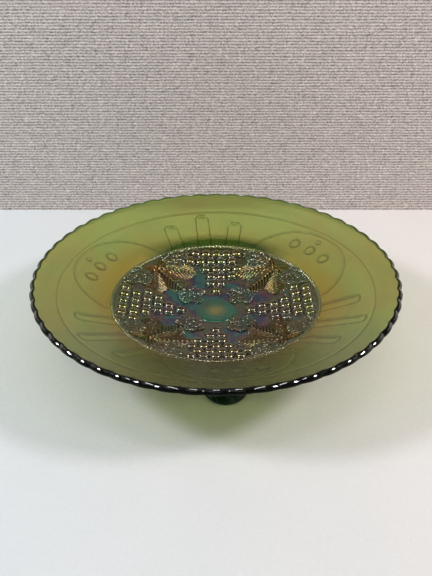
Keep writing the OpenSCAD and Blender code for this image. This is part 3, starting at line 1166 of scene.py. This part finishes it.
def makeFloor():
    material, tree, shader = startMaterial("paleCloth", Roughness=0.9)
    place = addNode(tree, "TexCoord").outputs["Object"]
    across = addNode(tree, "MapRange")
    across.inputs["From Min"].default_value = -studio["blendHalf"]
    across.inputs["From Max"].default_value = studio["blendHalf"]
    wire(tree, splitXYZ(tree, place)[0], across.inputs[0])
    # painted light tint: cool on the left, warm on the right
    pale = mixColor(tree, across.outputs[0], studio["paleLeft"], studio["paleRight"])
    stretches = ((300, 1100, 1), (1100, 300, 1), (14, 9, 1))
    threads = [threadNoise(tree, place, stretch) for stretch in stretches]
    weave = times(tree, math2(tree, "ADD", threads[0], threads[1]), 0.5)
    fine = rampOf(tree, weave, [(0.3, (0.95, 0.95, 0.95)), (0.7, (1, 1, 1))])
    soft = rampOf(tree, threads[2], [(0.3, (0.96, 0.97, 0.97)), (0.7, (1, 1, 1))])
    cloth = mixColor(tree, 1.0, mixColor(tree, 1.0, pale, fine, "MULTIPLY"), soft, "MULTIPLY")
    wire(tree, cloth, shader.inputs["Base Color"])
    dent = addNode(tree, "Bump")
    dent.inputs["Distance"].default_value = 0.3 * mm
    wire(tree, weave, dent.inputs["Height"])
    wire(tree, dent.outputs[0], shader.inputs["Normal"])
    s = studio["tableHalf"]
    corners = [(-s, -s, 0), (s, -s, 0), (s, s, 0), (-s, s, 0)]
    stageCloth("floor", corners, material, tree, shader)


def makeBackdrop():
    # grey ribbed cloth that hangs behind the table
    material, tree, shader = startMaterial("greyCloth", Roughness=0.95)
    place = addNode(tree, "TexCoord").outputs["Object"]
    rough = threadNoise(tree, place, (60, 60, 500))
    wobble = times(tree, rough, 2.6)
    upright = times(tree, splitXYZ(tree, place)[2], 2 * math.pi / studio["clothRib"])
    turns = math2(tree, "ADD", upright, wobble)
    ribs = math2(tree, "SINE", turns, 0.0)
    broken = threadNoise(tree, place, (700, 700, 900))
    faint = times(tree, ribs, 0.16)
    height = math2(tree, "ADD", faint, math2(tree, "SUBTRACT", broken, 0.1))
    stops = [(0.1, (0.3, 0.3, 0.3)), (0.4, (0.92, 0.92, 0.92)), (0.7, (1.55, 1.55, 1.55))]
    shade = rampOf(tree, height, stops)
    cloth = mixColor(tree, 1.0, studio["greyCloth"], shade, "MULTIPLY")
    wire(tree, cloth, shader.inputs["Base Color"])
    w, h, y = studio["clothWide"] / 2, studio["clothHigh"], studio["tableEdge"]
    c, s = math.cos(studio["cameraTurn"]), math.sin(studio["cameraTurn"])
    corners = [(-w, y, -5 * mm), (w, y, -5 * mm), (w, y, h), (-w, y, h)]
    corners = [(x * c - d * s, x * s + d * c, z) for x, d, z in corners]
    stageCloth("backdrop", corners, material, tree, shader)


coolLight, warmLight, whiteLight = (0.95, 0.98, 1.0), (1.0, 0.97, 0.93), (1.0, 0.99, 0.98)
lamps = [
    # degrees round the bowl from the camera's side, height, distance, size, watts, colour
    ("lampLeft", -74, 0.78, 0.8, (0.22, 0.16), 5.2, coolLight),
    ("softLampLeft", -62, 0.95, 0.75, (0.9, 0.7), 2.2, coolLight),
    ("lampRight", 74, 0.78, 0.8, (0.22, 0.16), 5.356, warmLight),
    ("softLampRight", 62, 0.95, 0.75, (0.9, 0.7), 2.266, warmLight),
    ("lampStrip", 0, 1.05, 0.36, (0.45, 0.1), 1.2, whiteLight),
]


def makeLamp(row):
    # small lamps give crisp glints, soft ones a soft shadow and no glint
    name, degrees, height, away, size, power, colour = row
    lamp = bpy.data.lights.new(name, "AREA")
    lamp.shape = "RECTANGLE"
    lamp.size, lamp.size_y = size
    lamp.energy = power
    lamp.color = colour
    piece = addToScene(name, lamp)
    a = studio["cameraTurn"] - math.pi / 2 + math.radians(degrees)
    piece.location = (away * math.cos(a), away * math.sin(a), height)
    aim = Vector((0, 0, studio["aimHeight"])) - piece.location
    piece.rotation_euler = aim.to_track_quat("-Z", "Y").to_euler()
    piece.visible_glossy = not name.startswith("soft")


def makeWorld():
    # an uneven room, so that the lustre has something light and dark to pick up
    world = bpy.data.worlds.new("softRoom")
    bpy.context.scene.world = world
    world.use_nodes = True
    tree = world.node_tree
    tree.nodes.clear()
    out = addNode(tree, "OutputWorld")
    back = addNode(tree, "Background")
    place = addNode(tree, "TexCoord").outputs["Generated"]
    stops = [(0.0, (0.75, 0.72, 0.68)), (0.5, (0.8, 0.8, 0.8)), (1.0, (0.35, 0.36, 0.38))]
    height = rampOf(tree, splitXYZ(tree, place)[2], stops)
    panels = addNode(tree, "TexNoise")
    panels.inputs["Scale"].default_value = studio["roomScale"]
    panels.inputs["Detail"].default_value = 1
    wire(tree, place, panels.inputs["Vector"])
    stops = [(0.42, (0.04, 0.04, 0.04)), (0.52, (0.4, 0.4, 0.4)), (0.6, (1, 1, 1))]
    light = rampOf(tree, panels.outputs[0], stops)
    wire(tree, mixColor(tree, 1.0, height, light, "MULTIPLY"), back.inputs[0])
    back.inputs[1].default_value = studio["room"]
    wire(tree, back.outputs[0], out.inputs[0])


def makeCamera():
    camera = bpy.data.cameras.new("camera")
    camera.lens = studio["lens"]
    camera.sensor_width = 36
    camera.clip_start = 0.01
    piece = addToScene("camera", camera)
    a = studio["cameraTurn"]
    out = studio["cameraOut"]
    piece.location = (out * math.sin(a), -out * math.cos(a), rimZ + studio["cameraUp"])
    piece.rotation_euler = (math.pi / 2 - studio["cameraPitch"], 0, a)
    bpy.context.scene.camera = piece


makeFloor()
makeBackdrop()
for lamp in lamps:
    makeLamp(lamp)
makeWorld()
makeCamera()
bpy.context.scene.view_settings.view_transform = "Standard"
